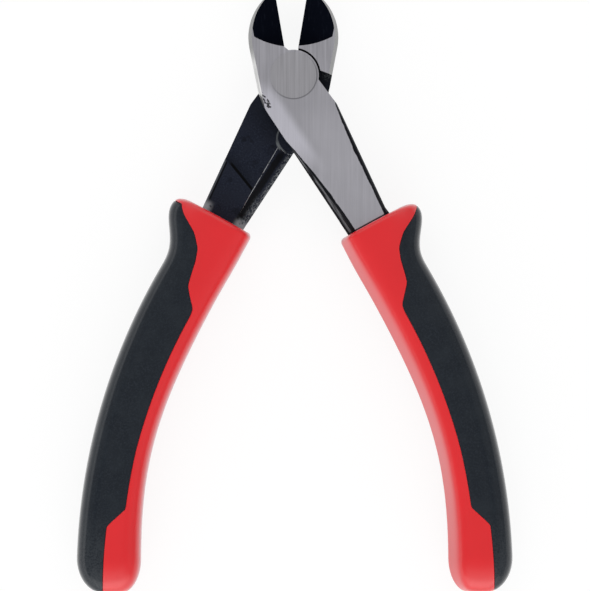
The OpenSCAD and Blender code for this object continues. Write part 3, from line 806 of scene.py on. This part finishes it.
def steel_piece(node, name, body, place, materials, finish, rounds, spread_by=1.0):
    """Piece in place of a node: its mesh, with a finish for each face, then edges rounded kind by kind."""
    bm = bmesh.new()
    bm.from_mesh(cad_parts[node].data)
    bmesh.ops.scale(bm, vec=(spread_by, spread_by, 1), verts=bm.verts)
    bmesh.ops.remove_doubles(bm, verts=bm.verts, dist=STEEL_WELD)
    bmesh.ops.dissolve_limit(bm, angle_limit=LEVEL_ANGLE, verts=bm.verts, edges=bm.edges, delimit={"NORMAL"})
    made = bm.faces.layers.int.new("made")
    back = place.inverted()
    turn = back.to_3x3()

    def seen(f):
        return back @ f.calc_center_median() / MM, turn @ f.normal

    for f in bm.faces:
        f.smooth = True
        f.material_index = finish(*seen(f))
    for kinds, width, material in rounds:
        bm.normal_update()
        edges = [e for e in bm.edges if len(e.link_faces) == 2 and not any(f[made] for f in e.link_faces)
                 and e.calc_face_angle() > SMOOTH_ANGLE
                 and (kinds is None or {face_kind(*seen(f)) for f in e.link_faces} == kinds)
                 and not on_rivet(back @ e.verts[0].co / MM)]
        result = bmesh.ops.bevel(bm, geom=edges, offset=width * MM, offset_type="OFFSET", segments=ROUND_SEGMENTS,
                                 profile=0.5, affect="EDGES", clamp_overlap=True, material=material)
        for f in result["faces"]:
            f.smooth = True
            f[made] = 1
    bm.normal_update()
    normals = loop_normals(bm, made)
    mesh = bpy.data.meshes.new(name)
    bm.to_mesh(mesh)
    bm.free()
    mesh.normals_split_custom_set(normals)
    for m in materials:
        mesh.materials.append(m)
    obj = add_object(name, mesh)
    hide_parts(node)
    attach(obj, body)
    return obj


# Limits that tell a lever's faces apart
FLAT = 0.99
GROUND_MARGIN = 0.05
SIDE_END = -6.9
BEVEL_START = 6.8
LAND_MARGIN = 0.25
LAND_TOP = 3
WALL_TOP = -0.2


def face_kind(centre, normal):
    """Name of a lever's face, from a point of it and its normal."""
    if abs(normal.z) > FLAT and abs(centre.z) > HALF_T - GROUND_MARGIN:
        return "ground"
    if normal.z > 0.3 and centre.y < NECK[1]:
        return "chamfer"
    if abs(normal.z) < 0.5 and normal.x < -0.25 and centre.y > SIDE_END:
        return "side"
    if centre.y > BEVEL_START and normal.x > 0.1 and (abs(normal.z) > 0.5 or normal.y > 0.5):
        return "bevel"
    if normal.z < -FLAT:
        return "mate"
    if normal.z < -0.8:
        return "mate_bevel"
    if centre.y > NECK[1]:
        return "plain"
    if abs((centre.xy - LAND_MID).length - LAND_R) < LAND_MARGIN and 0 < centre.z < LAND_TOP:
        return "land"
    if normal.x > 0.9:
        return "outer"
    if normal.y > 0.5:
        return "step"
    if normal.x < -0.5 and centre.z < WALL_TOP:
        return "wall"
    return "plain"


# Finishes of a lever by number, those of its faces, and its rounded edges: the faces that meet, the width in
# millimetres, and the finish, or -1 for that of the faces beside
GROUND, BLACK, SIDE, BEVEL, WORN_HIGHLIT = range(5)
FACE_FINISHES = {"ground": GROUND, "chamfer": GROUND, "side": SIDE, "bevel": BEVEL}
# The worn finish on the ridge and land edges is also a painted highlight
LEVER_ROUNDS = (({"mate", "mate_bevel"}, 0.75, WORN_HIGHLIT), ({"mate", "wall"}, 0.75, WORN_HIGHLIT), ({"mate", "land"}, 0.3, WORN_HIGHLIT),
                ({"mate", "outer"}, 0.4, BLACK), ({"mate", "step"}, 0.2, BLACK), (None, 0.08, -1))


def lever_finish(centre, normal):
    return FACE_FINISHES.get(face_kind(centre, normal), BLACK)


dark = bevel_black()
worn_highlit = worn_highlit_edge()
for label, front, body, place in (("front", True, "front_half", FRONT), ("rear", False, "rear_half", REAR)):
    finishes = [ground_steel("ground_" + label, front), black_oxide("black_" + label, front),
                side_steel("side_" + label, front), dark, worn_highlit]
    lever = steel_piece(label + "_lever", label + "_lever_forging", body, place, finishes, lever_finish,
                        LEVER_ROUNDS)
rivet = steel_piece("pivot_rivet", "rivet_body", "front_half", FRONT, [rivet_steel()], lambda c, v: 0, (),
                    RIVET_SPREAD)

# Grips
red = red_plastic()
rubber = black_rubber()
for label, body, place, lift in (("right", "front_half", FRONT, RIGHT_LIFT), ("left", "rear_half", REAR, LEFT_LIFT)):
    sleeve = moulding(label + "_sleeve_moulding", *sleeve_shape(lift), place, SLEEVE_SHARP, red)
    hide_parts(label + "_grip_sleeve")
    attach(sleeve, body)
    cover = moulding(label + "_cover_moulding", *cover_shape(lift), place, COVER_SHARP, rubber)
    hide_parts(label + "_grip_cover")
    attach(cover, body)

# Floor: white to the camera and to mirrors, with soft shadows, and grey to the light that bounces off it
scene.view_settings.view_transform = "Standard"
FLOOR_HALF = 1.5
FLOOR_GLOW = 0.87
FLOOR_SHADED = grey(0.16)
FLOOR_BOUNCE = grey(0.4)
floor_z = cad_box[0].z - 0.2 * MM


def floor_material():
    mat = bpy.data.materials.new("white_floor")
    mat.use_nodes = True
    n = Nodes(mat.node_tree)
    bounce = n.add("ShaderNodeBsdfDiffuse", Color=FLOOR_BOUNCE).outputs[0]
    shaded = n.add("ShaderNodeBsdfDiffuse", Color=FLOOR_SHADED).outputs[0]
    glow = n.add("ShaderNodeEmission", Color=grey(1.0), Strength=FLOOR_GLOW).outputs[0]
    shown = n.add("ShaderNodeAddShader", i0=shaded, i1=glow).outputs[0]
    both = n.add("ShaderNodeMixShader", i0=n.rays("Camera", "Glossy", "Transmission"), i1=bounce, i2=shown)
    n.add("ShaderNodeOutputMaterial", Surface=both.outputs[0])
    return mat


mesh = bpy.data.meshes.new("floor")
corners = [(FLOOR_HALF * x, FLOOR_HALF * y, floor_z) for x, y in ((-1, -1), (1, -1), (1, 1), (-1, 1))]
mesh.from_pydata(corners, [], [(0, 1, 2, 3)])
mesh.materials.append(floor_material())
floor = add_object("floor", mesh)

# Sky: dimmer straight above than round about, and dimmer to the left and right than along the tool. What mirrors see
# of it is held, so that polished steel doesn't clip, and the camera sees white.
SKY_LEVELS = ((0.0, 0.9), (0.35, 1.7), (0.7, 1.8), (0.9, 0.55), (1.0, 0.44))
SKY_SIDES = (0.28, 0.6, 1.0, 0.3)
SKY_IN_MIRRORS = 0.95
SKY_UNHELD = 10.0


def make_sky():
    world = bpy.data.worlds.new("studio")
    world.use_nodes = True
    n = Nodes(world.node_tree)
    sideways, _, height = n.split(n.add("ShaderNodeTexCoord").outputs["Generated"])
    level = n.times(n.curve(height, SKY_LEVELS), n.ramp(n.size(sideways), *SKY_SIDES))
    held = n.ramp(n.rays("Glossy", "Transmission"), 0.0, 1.0, SKY_UNHELD, SKY_IN_MIRRORS, soft=False)
    level = n.most(n.math("MINIMUM", level, held), n.rays("Camera"))
    sky = n.add("ShaderNodeBackground", Color=grey(1.0), Strength=level)
    n.add("ShaderNodeOutputWorld", Surface=sky.outputs[0])
    return world


scene.world = make_sky()

# Light panels that stand on the floor and face the tool: the way to each, its height, width and radiance
PANELS = {"left_panel": ((-1, 0, 0), 0.17, 1.3, 1.4), "right_panel": ((1, 0, 0), 0.4, 1.3, 0.08),
          "near_panel": ((0, -1, 0), 0.35, 1.2, 1.2)}
PANEL_AWAY = 0.6
TOOL_MIDDLE = -0.055

for name, (way, height, width, radiance) in PANELS.items():
    data = bpy.data.lights.new(name, "AREA")
    data.shape = "RECTANGLE"
    data.size, data.size_y = width, height
    data.energy = radiance * math.pi * height * width
    light = add_object(name, data)
    light.location = Vector((0, TOOL_MIDDLE, floor_z + height / 2)) + Vector(way) * PANEL_AWAY
    light.rotation_mode = "QUATERNION"
    light.rotation_quaternion = (-Vector(way)).to_track_quat("-Z", "Y")
    light.visible_camera = False

# Camera straight above, as in the photo, which is PHOTO_W pixels wide
PIXEL = 0.254 * MM
PHOTO_W = 590
DISTANCE = 1.6
SENSOR = 36.0
CAMERA_XY = (0.000254, -0.056)
CAMERA_ROLL = math.radians(-0.15)

data = bpy.data.cameras.new("camera")
data.sensor_fit = "HORIZONTAL"
data.sensor_width = SENSOR
data.lens = SENSOR * DISTANCE / (PHOTO_W * PIXEL)
data.clip_start, data.clip_end = 0.05, 20
camera = add_object("camera", data)
camera.location = (*CAMERA_XY, 2 * HALF_T * MM + DISTANCE)
camera.rotation_euler = (0, 0, CAMERA_ROLL)
scene.camera = camera
